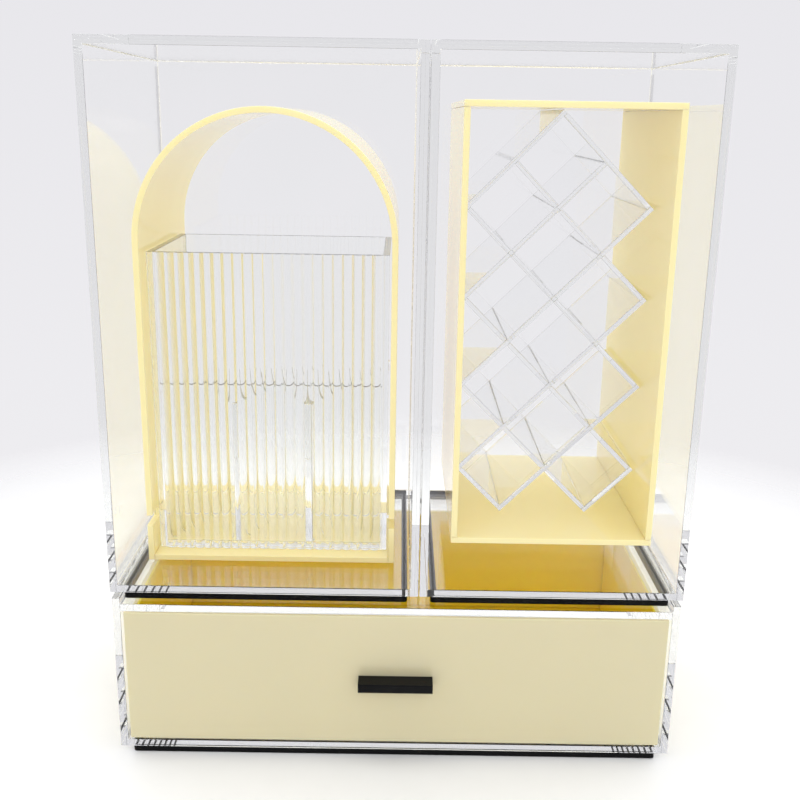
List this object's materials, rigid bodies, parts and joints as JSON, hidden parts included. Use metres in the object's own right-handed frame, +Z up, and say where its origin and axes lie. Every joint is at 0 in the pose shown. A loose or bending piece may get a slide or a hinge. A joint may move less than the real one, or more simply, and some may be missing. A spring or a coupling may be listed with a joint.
{
  "type": "brush holder with drawer",
  "caption": "Clear stacked vanity organiser: two open cases with a cream arch brush pocket and a lipstick lattice, over a cream drawer.",
  "frame": {"origin": "under the middle of the bounding box, on the surface the organiser stands on", "axes": "+Z up, front towards -Y, +X to the right seen from the front"},
  "size_m": [0.24, 0.1326, 0.2933],
  "materials": {
    "clear_acrylic": "clear polished acrylic sheet",
    "cream_acrylic": "glossy cream acrylic sheet",
    "black_acrylic": "glossy black acrylic"
  },
  "bodies": {
    "drawer_unit": {"base_back_panel": "clear_acrylic", "base_bottom_plate": "clear_acrylic", "base_foot_frame": "black_acrylic", "base_side_left": "clear_acrylic", "base_side_right": "clear_acrylic", "base_top_plate": "clear_acrylic"},
    "drawer": {"drawer_back": "cream_acrylic", "drawer_bottom": "cream_acrylic", "drawer_front": "cream_acrylic", "drawer_handle": "black_acrylic", "drawer_side_left": "cream_acrylic", "drawer_side_right": "cream_acrylic"},
    "left_case": {"arch_floor": "cream_acrylic", "arch_shell": "cream_acrylic", "left_case_back": "clear_acrylic", "left_case_floor": "clear_acrylic", "left_case_foot_frame": "black_acrylic", "left_case_side_left": "clear_acrylic", "left_case_side_right": "clear_acrylic", "left_case_top": "clear_acrylic"},
    "brush_pocket": {"pocket_back": "clear_acrylic", "pocket_bumper_left": "clear_acrylic", "pocket_bumper_right": "clear_acrylic", "pocket_divider_left": "clear_acrylic", "pocket_divider_right": "clear_acrylic", "pocket_floor": "clear_acrylic", "pocket_front": "clear_acrylic", "pocket_mid_wall": "clear_acrylic", "pocket_peg_left": "clear_acrylic", "pocket_peg_right": "clear_acrylic", "pocket_side_left": "clear_acrylic", "pocket_side_right": "clear_acrylic"},
    "right_case": {"lipstick_frame_bottom": "cream_acrylic", "lipstick_frame_left": "cream_acrylic", "lipstick_frame_right": "cream_acrylic", "lipstick_frame_top": "cream_acrylic", "right_case_back": "clear_acrylic", "right_case_floor": "clear_acrylic", "right_case_foot_frame": "black_acrylic", "right_case_side_left": "clear_acrylic", "right_case_side_right": "clear_acrylic", "right_case_top": "clear_acrylic"},
    "lipstick_lattice": {"lattice_falling_slat_1": "clear_acrylic", "lattice_falling_slat_2": "clear_acrylic", "lattice_falling_slat_3": "clear_acrylic", "lattice_falling_slat_4": "clear_acrylic", "lattice_falling_slat_5": "clear_acrylic", "lattice_falling_slat_6": "clear_acrylic", "lattice_rising_slat_1": "clear_acrylic", "lattice_rising_slat_2": "clear_acrylic", "lattice_rising_slat_3": "clear_acrylic", "lattice_rising_slat_4": "clear_acrylic", "lattice_rising_slat_5": "clear_acrylic", "lattice_rising_slat_6": "clear_acrylic"}
  },
  "joints": [
    {"name": "drawer_slide", "type": "slide", "parent": "drawer_unit", "child": "drawer", "axis": [0, -1, 0], "range_m": [0, 0.09]},
    {"name": "left_case_lift", "type": "slide", "parent": "drawer_unit", "child": "left_case", "axis": [0, 0, 1], "range_m": [0, 0.04]},
    {"name": "right_case_lift", "type": "slide", "parent": "drawer_unit", "child": "right_case", "axis": [0, 0, 1], "range_m": [0, 0.04]},
    {"name": "brush_pocket_slide", "type": "slide", "parent": "left_case", "child": "brush_pocket", "axis": [0, -1, 0], "range_m": [0, 0.075]},
    {"name": "lipstick_lattice_slide", "type": "slide", "parent": "right_case", "child": "lipstick_lattice", "axis": [0, -1, 0], "range_m": [0, 0.08]}
  ]
}
